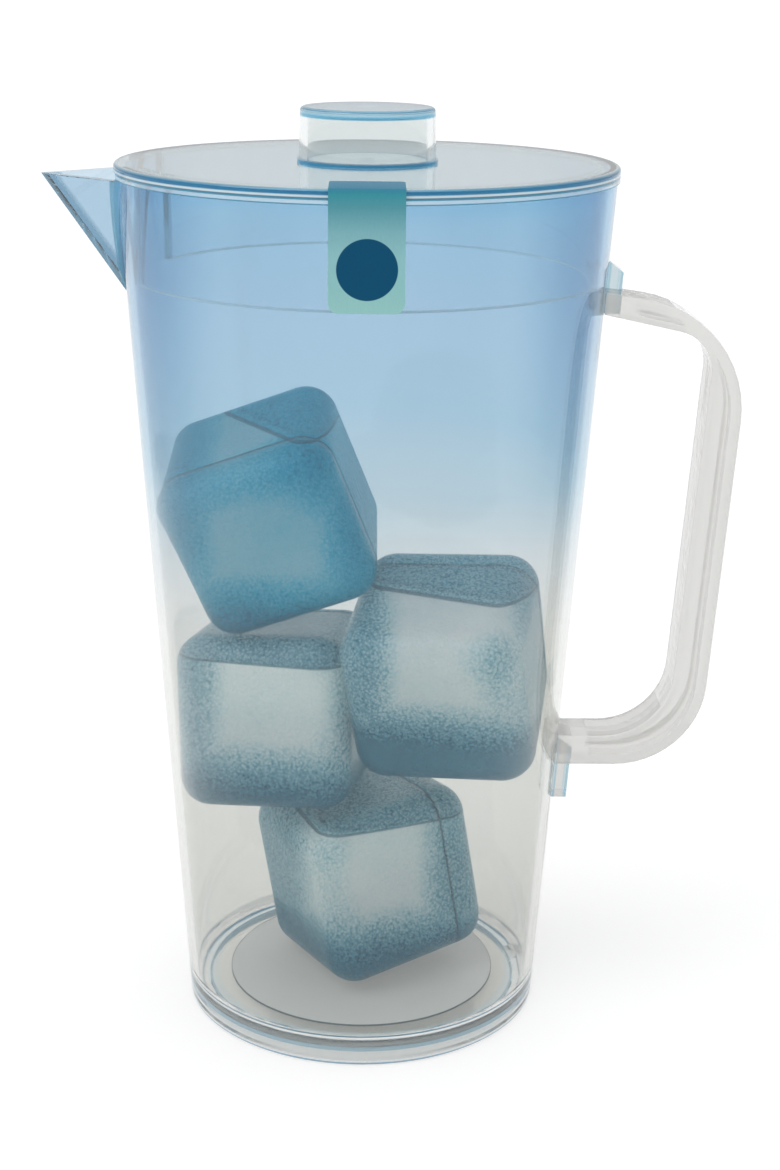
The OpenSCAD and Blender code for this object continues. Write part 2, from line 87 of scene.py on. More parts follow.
class Tree:
    """A material's node tree, with short calls for the nodes used here."""

    def __init__(self, name):
        self.mat = bpy.data.materials.new(name)
        self.mat.use_nodes = True
        self.nt = self.mat.node_tree
        self.nt.nodes.clear()
        self.out = self.nt.nodes.new("ShaderNodeOutputMaterial")

    def node(self, kind, **values):
        n = self.nt.nodes.new("ShaderNode" + kind)
        for key, value in values.items():
            setattr(n, key, value)
        return n

    def link(self, source, target):
        self.nt.links.new(source, target)

    def feed(self, socket, value):
        """Links the socket to another node's output, or sets it to a plain value."""
        if isinstance(value, bpy.types.NodeSocket):
            self.link(value, socket)
        else:
            socket.default_value = value

    def place(self):
        """Position in the frame of the part, in metres, at rest."""
        return self.node("TexCoord").outputs["Object"]

    def axis(self, vector, index):
        n = self.node("SeparateXYZ")
        self.link(vector, n.inputs[0])
        return n.outputs[index]

    def math(self, op, a, b=0.0, c=0.0):
        n = self.node("Math", operation=op)
        for socket, value in zip(n.inputs, (a, b, c)):
            self.feed(socket, value)
        return n.outputs[0]

    def times(self, a, b):
        return self.math("MULTIPLY", a, b)

    def larger(self, a, b):
        return self.math("MAXIMUM", a, b)

    def above(self, value, limit):
        return self.math("GREATER_THAN", value, limit)

    def below(self, value, limit):
        return self.math("LESS_THAN", value, limit)

    def vmath(self, op, a, b=(0.0, 0.0, 0.0)):
        n = self.node("VectorMath", operation=op)
        self.feed(n.inputs[0], a)
        self.feed(n.inputs[1], b)
        return n.outputs["Value"] if op == "LENGTH" else n.outputs[0]

    def span(self, value, low, high, to_low=0.0, to_high=1.0, smooth=True):
        """Goes from to_low to to_high while the value goes from low to high, and stays there beyond."""
        n = self.node("MapRange", interpolation_type="SMOOTHSTEP" if smooth else "LINEAR")
        for socket, v in zip(n.inputs[:5], (value, low, high, to_low, to_high)):
            self.feed(socket, v)
        return n.outputs[0]

    def band(self, value, low, high, soft=0.15 * MM):
        """1 where the value lies between low and high, 0 elsewhere."""
        over_low = self.span(value, low - soft, low + soft)
        return self.times(over_low, self.span(value, high + soft, high - soft))

    def all_of(self, *shares):
        total = shares[0]
        for share in shares[1:]:
            total = self.times(total, share)
        return total

    def ramp(self, value, stops):
        n = self.node("ValToRGB")
        elements = n.color_ramp.elements
        while len(elements) > 1:
            elements.remove(elements[-1])
        elements[0].position, elements[0].color = stops[0][0], (*stops[0][1], 1.0)
        for at, colour in stops[1:]:
            elements.new(at).color = (*colour, 1.0)
        self.feed(n.inputs[0], value)
        return n.outputs[0]

    def mix(self, share, a, b, blend="MIX"):
        n = self.node("Mix", data_type="RGBA", blend_type=blend)
        self.feed(n.inputs[0], share)
        self.feed(n.inputs[6], a if isinstance(a, bpy.types.NodeSocket) else (*a, 1.0))
        self.feed(n.inputs[7], b if isinstance(b, bpy.types.NodeSocket) else (*b, 1.0))
        return n.outputs[2]

    def noise(self, vector, scale, detail=2.0):
        """Soft noise from 0 to 1, with about as many waves to a metre as the scale says."""
        n = self.node("TexNoise")
        self.feed(n.inputs["Vector"], vector)
        n.inputs["Scale"].default_value = scale
        n.inputs["Detail"].default_value = detail
        return n.outputs["Fac"]

    def bump(self, height, distance, under=None):
        n = self.node("Bump")
        n.inputs["Strength"].default_value = 1.0
        n.inputs["Distance"].default_value = distance
        self.link(height, n.inputs["Height"])
        if under is not None:
            self.link(under, n.inputs["Normal"])
        return n.outputs[0]

    def gamma(self, colour, power):
        n = self.node("Gamma")
        self.feed(n.inputs["Color"], colour)
        self.feed(n.inputs["Gamma"], power)
        return n.outputs[0]

    def principled(self, **values):
        n = self.node("BsdfPrincipled")
        for key, value in values.items():
            self.feed(n.inputs[key.replace("_", " ")], value)
        return n.outputs[0]

    def lets_light_through(self, shader, tint):
        """Lamps, and light on its way from one matt surface to another, go straight through a clear wall,
        a little weakened but not coloured."""
        grey = self.node("RGBToBW")
        self.link(tint, grey.inputs[0])
        each_face = self.gamma(grey.outputs[0], WEAKENED_PER_FACE)
        path = self.node("LightPath")
        for ray in ("Is Diffuse Ray", "Is Shadow Ray"):
            clear = self.node("BsdfTransparent")
            self.link(each_face, clear.inputs["Color"])
            mix = self.node("MixShader")
            self.link(path.outputs[ray], mix.inputs[0])
            self.link(shader, mix.inputs[1])
            self.link(clear.outputs[0], mix.inputs[2])
            shader = mix.outputs[0]
        return shader

    def finish(self, shader):
        self.link(shader, self.out.inputs["Surface"])
        return self.mat


def rgb(*levels):
    """A colour as read off a screen, 0 to 255, as the linear values that Blender takes."""
    shares = [level / 255 for level in levels]
    return tuple(c / 12.92 if c <= 0.04045 else ((c + 0.055) / 1.055) ** 2.4 for c in shares)


def put_on(obj, mat):
    """Gives the whole object this one material."""
    obj.data.materials.clear()
    obj.data.materials.append(mat)


# ------------------------------------------------------------------ clear plastic

FOOT_R, RIM_R = 51.5 * MM, 67.5 * MM
JUG_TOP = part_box("pitcher_body")[1].z
LID_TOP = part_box("lid_knob")[0].z
KNOB_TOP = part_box("lid_knob")[1].z
SKIRT_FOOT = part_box("lid")[0].z
DISC_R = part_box("base_disc")[1].x
POUR_HALF_ANGLE = math.radians(20.0)

PLASTIC_IOR, SHELL_IOR, WATER_IOR = 1.46, 1.40, 1.33
WEAKENED_PER_FACE = 0.16
MILKY_ROUGHNESS = 0.15


def clear_plastic(name, colour_of):
    """Clear moulded plastic. colour_of(tree) gives how one wall tints what is seen through it, and
    how far its thick edges scatter light instead of passing it."""
    t = Tree(name)
    colour, milky = colour_of(t)
    specks = t.noise(t.place(), 400.0, 1.0)
    waves = t.noise(t.place(), 25.0, 1.0)
    rough = t.span(specks, 0.45, 0.75, 0.02, 0.05)
    rough = t.math("MULTIPLY_ADD", milky, MILKY_ROUGHNESS, rough)
    clear = t.math("MULTIPLY_ADD", milky, -1.0, 1.0)
    shader = t.principled(Base_Color=colour, Roughness=rough, IOR=PLASTIC_IOR, Transmission_Weight=clear,
                          Normal=t.bump(waves, 0.004 * MM))
    return t.finish(t.lets_light_through(shader, colour))


def distance_out(t, place):
    """Distance from the jug's axis."""
    return t.vmath("LENGTH", t.vmath("MULTIPLY", place, (1.0, 1.0, 0.0)))


def wall_radius(t, height):
    """Radius of the tapered wall's outside."""
    return t.math("MULTIPLY_ADD", height, (RIM_R - FOOT_R) / JUG_TOP, FOOT_R)


JUG_FADE = [
    (0.00, (0.77, 0.775, 0.75)),
    (0.45, (0.80, 0.81, 0.79)),
    (0.50, (0.80, 0.81, 0.80)),
    (0.55, (0.75, 0.78, 0.79)),
    (0.60, (0.71, 0.77, 0.80)),
    (0.68, (0.57, 0.71, 0.79)),
    (0.80, (0.58, 0.712, 0.81)),
    (0.91, (0.545, 0.69, 0.80)),
    (0.98, (0.52, 0.70, 0.82)),
    (1.00, (0.44, 0.66, 0.81)),
]
AT_THE_SIDES, MORE_BY_HEIGHT = (0.65, 1.00), (0.50, 0.90, 0.25, 1.2)
OUTERMOST, OUTERMOST_MORE = (0.93, 0.99), 0.4
JUG_EDGES = {
    "spout_root": (0.10, 0.36, 0.52),
    "spout_brim": (0.10, 0.24, 0.36),
    "lug_root": (0.24, 0.46, 0.58),
    "lug_edge": (0.42, 0.60, 0.68),
    "floor_ring": (0.60, 0.74, 0.80),
    "recess_ring": (0.24, 0.46, 0.60),
    "foot_edge": (0.08, 0.28, 0.45),
}
JUG_MILKY = {
    "keel": 0.45,
    "foot": 0.22,
    "foot_edge": 0.7,
    "spout_root": 0.4,
    "spout_brim": 0.6,
    "lip_edge": 0.8,
    "lip": 0.3,
    "lug": 0.15,
    "recess_ring": 0.5,
}
# The grey band round the foot is painted shade of the shaded recess under the jug.
KEEL_BLUE, FOOT_SHADE_GREY = (0.28, 0.50, 0.66), (0.60, 0.64, 0.64)
SPOUT_LOW, SPOUT_HIGH = (0.50, 0.66, 0.785), (0.585, 0.715, 0.81)
LUG_LOW, LUG_HIGH = (0.70, 0.70, 0.68), (0.60, 0.70, 0.74)
LIP_PALE, LIP_DARK = (0.86, 0.93, 0.96), (0.06, 0.26, 0.38)

# Where the jug's edges lie: from and to this height, this far out from the axis or this far beyond
# the wall, and for some also how soft the ends are.
LIP_FOOT, UNDER_LIP = JUG_TOP - 1.9 * MM, JUG_TOP - 1.7 * MM
LIP_LOW_LINE = (LIP_FOOT, JUG_TOP - 1.3 * MM, 0.1 * MM)
LIP_TOP_LINE = (JUG_TOP - 0.45 * MM, JUG_TOP + 1.0 * MM, 0.1 * MM)
LIP_BEYOND = (0.1 * MM, 0.3 * MM)
TO_THE_SIDE = 20.0 * MM
SPOUT_BEYOND, SPOUT_ROOT_BEYOND = (0.6 * MM, 1.6 * MM), (0.3 * MM, 1.3 * MM)
SPOUT_BRIM, KEEL_HALF_WIDTH = JUG_TOP - 0.5 * MM, (2.4 * MM, 1.4 * MM)
SPOUT_FADE, LUG_FADE = (200.0 * MM, 226.0 * MM), (90.0 * MM, 150.0 * MM)
LUG_BEYOND, LUG_ROOT_BEYOND = (0.1 * MM, 0.3 * MM), (0.2 * MM, 0.8 * MM)
LUG_EDGE_BEYOND = (3.4 * MM, 3.6 * MM)
FOOT_HEIGHT, FOOT_OUT = (8.0 * MM, 7.0 * MM), (49.4 * MM, 50.2 * MM)
FOOT_EDGE_HEIGHT, FOOT_EDGE_OUT = (1.3 * MM, 0.8 * MM), (50.0 * MM, 50.4 * MM)
FLOOR_RING_HEIGHT, FLOOR_RING_OUT = (5.4 * MM, 8.5 * MM), (43.4 * MM, 47.0 * MM, 0.3 * MM)
RECESS_RING_HEIGHT, RECESS_RING_OUT = (2.8 * MM, 4.6 * MM), (45.2 * MM, 46.4 * MM)


def wall_tint(t, place):
    """The round wall's tint by height. The blue deepens towards the two sides, which stands in for
    the longer way through the curved wall there."""
    height = t.axis(place, 2)
    drift = t.math("MULTIPLY_ADD", t.noise(place, 14.0), 0.06, -0.03)
    share = t.math("ADD", t.math("DIVIDE", height, JUG_TOP), drift)
    aside = t.math("DIVIDE", t.math("ABSOLUTE", t.axis(place, 0)), wall_radius(t, height))
    more = t.times(t.span(aside, *AT_THE_SIDES), t.span(share, *MORE_BY_HEIGHT))
    more = t.math("MULTIPLY_ADD", t.span(aside, *OUTERMOST), OUTERMOST_MORE, more)
    return t.gamma(t.ramp(share, JUG_FADE), t.math("ADD", more, 1.0))


def jug_places(t, place):
    """Where the jug's spout, lugs, lip and foot and their edges are, each as a share from 0 to 1."""
    across, depth, height = t.axis(place, 0), t.axis(place, 1), t.axis(place, 2)
    out = distance_out(t, place)
    beyond = t.math("SUBTRACT", out, wall_radius(t, height))
    left = t.below(across, -TO_THE_SIDE)
    right = t.above(across, TO_THE_SIDE)
    under_lip = t.below(height, UNDER_LIP)
    spout = t.all_of(left, t.span(beyond, *SPOUT_BEYOND))
    lip = t.all_of(t.span(beyond, *LIP_BEYOND), t.above(height, LIP_FOOT))
    lip = t.times(lip, t.math("SUBTRACT", 1.0, spout))
    lip_lines = t.larger(t.band(height, *LIP_TOP_LINE), t.band(height, *LIP_LOW_LINE))
    return {
        "spout": spout,
        "spout_root": t.all_of(left, under_lip, t.band(beyond, *SPOUT_ROOT_BEYOND)),
        "spout_brim": t.all_of(spout, t.above(height, SPOUT_BRIM)),
        "keel": t.all_of(spout, t.span(t.math("ABSOLUTE", depth), *KEEL_HALF_WIDTH)),
        "lug": t.all_of(right, under_lip, t.span(beyond, *LUG_BEYOND)),
        "lug_root": t.all_of(right, under_lip, t.band(beyond, *LUG_ROOT_BEYOND)),
        "lug_edge": t.all_of(right, under_lip, t.span(beyond, *LUG_EDGE_BEYOND)),
        "lip": lip,
        "lip_lines": lip_lines,
        "lip_edge": t.times(lip, lip_lines),
        "foot": t.all_of(t.span(height, *FOOT_HEIGHT), t.span(out, *FOOT_OUT)),
        "foot_edge": t.all_of(t.span(height, *FOOT_EDGE_HEIGHT), t.span(out, *FOOT_EDGE_OUT)),
        "floor_ring": t.all_of(t.band(height, *FLOOR_RING_HEIGHT), t.band(out, *FLOOR_RING_OUT)),
        "recess_ring": t.all_of(t.band(height, *RECESS_RING_HEIGHT), t.band(out, *RECESS_RING_OUT)),
    }


def jug_tint(t):
    """Blue at the rim, fading to clear grey below the middle, with deep blue edges and a grey band of
    painted shade round the foot. The handle's lugs have hardly any of the blue."""
    place = t.place()
    height = t.axis(place, 2)
    at = jug_places(t, place)
    spout_tone = t.mix(t.span(height, *SPOUT_FADE), SPOUT_LOW, SPOUT_HIGH)
    lug_tone = t.mix(t.span(height, *LUG_FADE), LUG_LOW, LUG_HIGH)
    colour = wall_tint(t, place)
    for name, tone in (("spout", spout_tone), ("lug", lug_tone), ("keel", KEEL_BLUE), ("foot", FOOT_SHADE_GREY)):
        colour = t.mix(at[name], colour, tone)
    for name, tone in JUG_EDGES.items():
        colour = t.mix(at[name], colour, tone)
    colour = t.mix(at["lip"], colour, t.mix(at["lip_lines"], LIP_PALE, LIP_DARK))
    milky = 0.0
    for name, most in JUG_MILKY.items():
        milky = t.larger(milky, t.times(at[name], most))
    return colour, milky


LID_RIM = [
    (0.00, (0.02, 0.10, 0.18)),
    (0.13, (0.08, 0.28, 0.42)),
    (0.22, (0.86, 0.94, 0.97)),
    (0.36, (0.70, 0.86, 0.93)),
    (0.46, (0.01, 0.20, 0.40)),
    (0.76, (0.01, 0.18, 0.38)),
    (0.90, (0.20, 0.50, 0.68)),
    (1.00, (0.62, 0.78, 0.85)),
]
LID_RIM_FOOT, LID_RIM_TOP, LID_RIM_OUT = JUG_TOP - 0.2 * MM, JUG_TOP + 2.2 * MM, (66.6 * MM, 67.0 * MM)
SKIRT_TOP = (LID_RIM_FOOT, JUG_TOP - 0.6 * MM)
SKIRT_FOOT_EDGE = (SKIRT_FOOT + 0.6 * MM, SKIRT_FOOT + 0.3 * MM)
GAP_EDGE = (-0.6 * MM, 2.0 * MM, 0.5 * MM)
LID_GREY = (0.67, 0.745, 0.745)
LID_RIM_MILKY, SKIRT_MILKY, GAP_EDGE_SHARE = 0.65, 0.8, 0.5
SKIRT_CLEAR, SKIRT_GAP, SKIRT_EDGE = (0.955, 0.97, 0.975), (0.30, 0.52, 0.66), (0.62, 0.78, 0.86)


def pour_gap_edges(t, place):
    """The skirt's two upright ends, one on each side of the pour gap."""
    along = t.axis(place, 0)
    aside = t.math("ABSOLUTE", t.axis(place, 1))
    past_gap = t.math("SUBTRACT", t.times(aside, math.cos(POUR_HALF_ANGLE)),
                      t.times(along, -math.sin(POUR_HALF_ANGLE)))
    return t.all_of(t.band(past_gap, *GAP_EDGE), t.below(along, 0.0))


def lid_tint(t):
    """Pale grey plate with deep blue lines round its rim, and a nearly colourless skirt."""
    place = t.place()
    height = t.axis(place, 2)
    rim = t.all_of(t.span(distance_out(t, place), *LID_RIM_OUT), t.above(height, LID_RIM_FOOT))
    rim_lines = t.ramp(t.span(height, LID_RIM_FOOT, LID_RIM_TOP, smooth=False), LID_RIM)
    skirt = t.span(height, *SKIRT_TOP)
    gap_edge = pour_gap_edges(t, place)
    foot_edge = t.span(height, *SKIRT_FOOT_EDGE)
    plate = t.mix(rim, LID_GREY, rim_lines)
    walls = t.mix(gap_edge, SKIRT_CLEAR, SKIRT_GAP)
    walls = t.mix(foot_edge, walls, SKIRT_EDGE)
    on_skirt = t.times(t.larger(t.times(gap_edge, GAP_EDGE_SHARE), foot_edge), SKIRT_MILKY)
    milky = t.mix(skirt, t.times(rim, LID_RIM_MILKY), on_skirt)
    return t.mix(skirt, plate, walls), milky


HANDLE_DULL, HANDLE_PALE, HANDLE_MILKY = (0.78, 0.775, 0.755), (0.82, 0.815, 0.795), 0.3


def handle_tint(t):
    """A clear grey, nearly the same all along."""
    return t.mix(t.noise(t.place(), 30.0), HANDLE_DULL, HANDLE_PALE), HANDLE_MILKY


KNOB_CORNER = [
    (0.00, (0.16, 0.50, 0.70)),
    (0.25, (0.04, 0.34, 0.58)),
    (0.45, (0.40, 0.70, 0.84)),
    (0.65, (0.74, 0.87, 0.92)),
    (0.80, (0.16, 0.46, 0.66)),
    (1.00, (0.50, 0.70, 0.80)),
]
# The knob's top is darker: partly the plastic's own blue, partly painted reflection.
KNOB_GREY, KNOB_TOP_TINT_AND_REFLECTION = (0.81, 0.84, 0.84), (0.28, 0.45, 0.54)
GATE_BLUE, KNOB_FOOT_BLUE = (0.42, 0.66, 0.80), (0.05, 0.36, 0.60)
KNOB_UPPER, KNOB_CORNER_FOOT = (KNOB_TOP - 2.6 * MM, KNOB_TOP - 2.3 * MM), KNOB_TOP - 2.4 * MM
KNOB_FOOT = (LID_TOP + 0.8 * MM, LID_TOP + 0.5 * MM)
GATE_R, KNOB_CORNER_R = (3.6 * MM, 2.8 * MM), (15.4 * MM, 16.2 * MM)
KNOB_CORNER_MILKY, KNOB_FOOT_MILKY = 0.35, 0.45


def knob_tint(t):
    """Pale grey, with a darker top that is partly the plastic's own blue and partly painted reflection, a
    blue edge on top, a blue foot, and the mark where the plastic came in.
    """
    place = t.place()
    height, out = t.axis(place, 2), distance_out(t, place)
    top = t.span(height, *KNOB_UPPER)
    gate = t.all_of(t.span(out, *GATE_R), top)
    foot = t.span(height, *KNOB_FOOT)
    corner = t.all_of(t.span(out, *KNOB_CORNER_R), top)
    lines = t.ramp(t.span(height, KNOB_CORNER_FOOT, KNOB_TOP, smooth=False), KNOB_CORNER)
    colour = t.mix(top, KNOB_GREY, KNOB_TOP_TINT_AND_REFLECTION)
    for share, blue in ((corner, lines), (gate, GATE_BLUE), (foot, KNOB_FOOT_BLUE)):
        colour = t.mix(share, colour, blue)
    return colour, t.larger(t.times(corner, KNOB_CORNER_MILKY), t.times(foot, KNOB_FOOT_MILKY))


# ------------------------------------------------------------------ disc and card

# The grey at the disc's edge is painted shade.
DISC_DULL, DISC_PALE, DISC_EDGE_SHADE_GREY = rgb(238, 244, 245), rgb(246, 250, 250), rgb(112, 130, 138)
DISC_EDGE_SHADE_RING = (DISC_R - 0.25 * MM, DISC_R - 0.1 * MM)


def frosted_disc():
    """Near white frosted plastic, with a thin ring of painted shade round its edge."""
    t = Tree("frosted_disc")
    place = t.place()
    grain = t.noise(place, 1400.0)
    cloud = t.noise(place, 40.0, 3.0)
    colour = t.mix(cloud, DISC_DULL, DISC_PALE)
    # A thin ring of painted shade round the disc's edge.
    side = t.span(distance_out(t, place), *DISC_EDGE_SHADE_RING)
    colour = t.mix(side, colour, DISC_EDGE_SHADE_GREY)
    return t.finish(t.principled(Base_Color=colour, Roughness=0.55, Transmission_Weight=0.25,
                                 Normal=t.bump(grain, 0.06 * MM)))


CARD_FADE = [
    (0.00, rgb(150, 203, 198)),
    (0.20, rgb(144, 197, 197)),
    (0.45, rgb(142, 194, 198)),
    (0.65, rgb(126, 179, 187)),
    (0.85, rgb(84, 152, 164)),
    (0.95, rgb(58, 146, 160)),
    (1.00, rgb(58, 128, 158)),
]
CARD_END, CARD_FOLD = 215.0 * MM, 245.6 * MM
CARD_FRONT, FLAP_ABOVE, FLAP_DEPTH = -68.0 * MM, 245.0 * MM, (-68.5 * MM, -56.0 * MM)
FLAP_BLUE, PRINT_BLUE = rgb(88, 140, 168), rgb(0, 76, 110)
PRINT_AT, PRINT_R = (0.1 * MM, 0.0, 226.1 * MM), 7.45 * MM


def printed_card():
    """Blue at the fold, teal and then pale aqua down to the end, with one plain round print."""
    t = Tree("printed_card")
    place = t.place()
    height, depth = t.axis(place, 2), t.axis(place, 1)
    colour = t.ramp(t.span(height, CARD_END, CARD_FOLD, smooth=False), CARD_FADE)
    flap = t.span(depth, *FLAP_DEPTH, smooth=False)
    colour = t.mix(t.times(flap, t.above(height, FLAP_ABOVE)), colour, FLAP_BLUE)
    from_print = t.vmath("MULTIPLY", t.vmath("SUBTRACT", place, PRINT_AT), (1.0, 0.0, 1.0))
    disc = t.span(t.vmath("LENGTH", from_print), PRINT_R + 0.1 * MM, PRINT_R - 0.1 * MM)
    colour = t.mix(t.times(disc, t.below(depth, CARD_FRONT)), colour, PRINT_BLUE)
    fibre = t.noise(t.vmath("MULTIPLY", place, (1.0, 1.0, 0.35)), 2600.0, 3.0)
    colour = t.mix(t.times(fibre, 0.12), colour, (1.0, 1.0, 1.0), "OVERLAY")
    return t.finish(t.principled(Base_Color=colour, Roughness=t.span(fibre, 0.3, 0.7, 0.5, 0.65),
                                 Specular_IOR_Level=0.15, Normal=t.bump(fibre, 0.03 * MM)))


# ------------------------------------------------------------------ materials of the ice cubes

ICE_HALF, ICE_R, ICE_SHELL, ICE_CAP_H = 25.4 * MM, 9.2 * MM, 1.6 * MM, 11.5 * MM
# Colours from a shell's painted light spot at 0 to its deepest painted shade at 1; the deep one, bluer all
# over, is for the top cube.
PALE_SHELL = [(0.00, (0.95, 0.985, 0.98)), (0.30, (0.60, 0.80, 0.84)),
              (0.65, (0.20, 0.47, 0.58)), (1.00, (0.02, 0.23, 0.35))]
DEEP_SHELL = [(0.00, (0.50, 0.75, 0.81)), (0.30, (0.15, 0.60, 0.75)),
              (0.65, (0.01, 0.46, 0.64)), (1.00, (0.01, 0.27, 0.42))]
# How far above a cube's middle its painted light spot lies.
PALE_LIGHT_SPOT_UP, DEEP_LIGHT_SPOT_UP = 8.0 * MM, -3.0 * MM
SHELL_LINE = (0.01, 0.13, 0.20)
PEBBLES_PER_METRE = 1300.0

# Each goes from one distance to another, and with it from one share to another: the first two of the
# line's colour, the others of the way along the shades.
LEVEL_LINE = (0.45 * MM, 0.15 * MM, 0.0, 0.8)
SEAM_LINE = (0.5 * MM, 0.2 * MM, 0.0, 0.9)
# The painted shade, deepening outwards, to the two sides and downwards from the painted light spot.
OUTWARDS = (27.0 * MM, 43.0 * MM, 0.0, 0.75)
SIDEWAYS = (12.0 * MM, 24.0 * MM, 0.08, 0.55)
DOWNWARDS = (-4.0 * MM, -29.0 * MM, 0.0, 1.0)
LEVEL_SOFT, EMPTY_SHARE = 0.3 * MM, 0.57
# How far the pebbles' painted light and dark flecks, and the random clouding, move a shell along its
# shades.
PEBBLE_MIDDLE, PEBBLE_SHARE, CLOUD_SHARE = 0.40, 0.75, 0.22


def cube_space(t, turn):
    """Position within a cube, in metres, along its own axes."""
    n = t.node("VectorRotate", rotation_type="EULER_XYZ", invert=True)
    t.feed(n.inputs["Vector"], t.vmath("SUBTRACT", t.place(), tuple(turn.translation)))
    n.inputs["Rotation"].default_value = turn.to_euler("XYZ")
    return n.outputs[0]


def pebbled(t, place):
    """About 0 in the middle of each pebble of the frosting, and more between them."""
    cells = t.node("TexVoronoi", feature="SMOOTH_F1")
    t.link(place, cells.inputs["Vector"])
    cells.inputs["Scale"].default_value = PEBBLES_PER_METRE
    cells.inputs["Smoothness"].default_value = 0.5
    return cells.outputs["Distance"]


def painted_shell_shade(t, place, middle, level, light_spot_up, pebble):
    """Painted light and shade on a cube's shell: 0 at a painted light spot the given height above its
    middle, more as painted shade outwards, downwards, to the two sides and in the empty top, with painted
    light and dark flecks on the pebbles and some clouding on top."""
    off = t.vmath("SUBTRACT", place, (middle.x, middle.y, middle.z + light_spot_up))
    outwards = t.span(t.vmath("LENGTH", off), *OUTWARDS)
    sideways = t.span(t.math("ABSOLUTE", t.axis(off, 0)), *SIDEWAYS)
    downwards = t.span(t.axis(off, 2), *DOWNWARDS)
    empty = t.span(t.axis(place, 2), level - LEVEL_SOFT, level + LEVEL_SOFT, 0.0, EMPTY_SHARE)
    shade = t.larger(t.larger(outwards, downwards), t.larger(sideways, empty))
    # Painted light and dark flecks on the pebbles, strongest where the painted shade turns.
    grain = t.span(shade, 0.05, 0.35, 0.25, 1.0)
    painted_flecks = t.times(t.math("SUBTRACT", pebble, PEBBLE_MIDDLE), grain)
    cloud = t.math("SUBTRACT", t.noise(place, 60.0), 0.5)
    shade = t.math("MULTIPLY_ADD", painted_flecks, PEBBLE_SHARE, shade)
    return t.math("MULTIPLY_ADD", cloud, CLOUD_SHARE, shade)


def shell_lines(t, place, turn, level, seam):
    """The dark lines at the filling's level and at the seam."""
    from_level = t.math("ABSOLUTE", t.math("SUBTRACT", t.axis(place, 2), level))
    from_seam = t.math("ABSOLUTE", t.math("SUBTRACT", t.axis(cube_space(t, turn), 1), seam))
    return t.larger(t.span(from_level, *LEVEL_LINE), t.span(from_seam, *SEAM_LINE))


def frosted_shell(name, turn, level, seam, shades, light_spot_up):
    """Pebbled frosted plastic, part milky, its colour carrying painted light and shade."""
    t = Tree(name)
    place = t.place()
    pebble = pebbled(t, place)
    colour = t.ramp(painted_shell_shade(t, place, turn.translation, level, light_spot_up, pebble), shades)
    colour = t.mix(shell_lines(t, place, turn, level, seam), colour, SHELL_LINE)
    fine = t.bump(t.noise(place, 2600.0), 0.05 * MM, under=t.bump(pebble, 0.2 * MM))
    shader = t.principled(Base_Color=colour, Roughness=0.2, IOR=SHELL_IOR, Transmission_Weight=0.6,
                          Specular_IOR_Level=0.3, Normal=fine)
    return t.finish(t.lets_light_through(shader, colour))


def ice_filling(name, turn):
    """The filling: clear, a little deeper in colour away from its middle."""
    t = Tree(name)
    off = t.vmath("LENGTH", cube_space(t, turn))
    away = t.span(off, ICE_HALF * 0.6, ICE_HALF * 1.25)
    colour = t.mix(away, (0.97, 0.99, 0.99), (0.72, 0.86, 0.89))
    rough = t.span(t.noise(t.place(), 300.0), 0.3, 0.7, 0.03, 0.08)
    ripple = t.bump(t.noise(t.place(), 120.0, 1.0), 0.02 * MM)
    shader = t.principled(Base_Color=colour, Roughness=rough, IOR=WATER_IOR, Transmission_Weight=1.0,
                          Normal=ripple)
    return t.finish(t.lets_light_through(shader, colour))


def white_plug():
    """Dull white plastic."""
    t = Tree("white_plug")
    grain = t.noise(t.place(), 2500.0)
    colour = t.mix(grain, rgb(200, 212, 214), rgb(228, 234, 234))
    return t.finish(t.principled(Base_Color=colour, Roughness=0.4, Normal=t.bump(grain, 0.03 * MM)))


# ------------------------------------------------------------------ meshes of the ice cubes

ROUND_STEPS, FLAT_STEPS = 8, 7
SAME_LINE, ON_SEAM = 0.05 * MM, 0.01 * MM
SEAM_HALF_WIDTH, SEAM_DEPTH = 0.35 * MM, 0.3 * MM
FILLING_GAP = 0.1 * MM
MENISCUS_W, MENISCUS_H = 0.9 * MM, 0.5 * MM


def make_mesh(name, points, faces, smooth=True):
    mesh = bpy.data.meshes.new(name)
    mesh.from_pydata([tuple(p) for p in points], [], faces)
    mesh.update()
    if smooth:
        mesh.shade_smooth()
    obj = bpy.data.objects.new(name, mesh)
    scene.collection.objects.link(obj)
    return obj


def grid_lines(core, r, extra):
    """Grid lines across one face: over the flat core, then round each edge by equal angles."""
    turns = [r * math.tan(math.radians(45.0 * k / ROUND_STEPS)) for k in range(1, ROUND_STEPS + 1)]
    even = [core * k / FLAT_STEPS for k in range(1 - FLAT_STEPS, FLAT_STEPS)]
    flat = sorted(set([-core, core] + even + extra))
    kept = [flat[0]]
    for x in flat[1:]:
        if x - kept[-1] > SAME_LINE:
            kept.append(x)
    return [-core - s for s in reversed(turns)] + kept + [core + s for s in turns]


def nearest_in_core(p, core):
    """The nearest point of the smaller cube that the round edges are rolled about."""
    return Vector([max(-core, min(core, c)) for c in p])


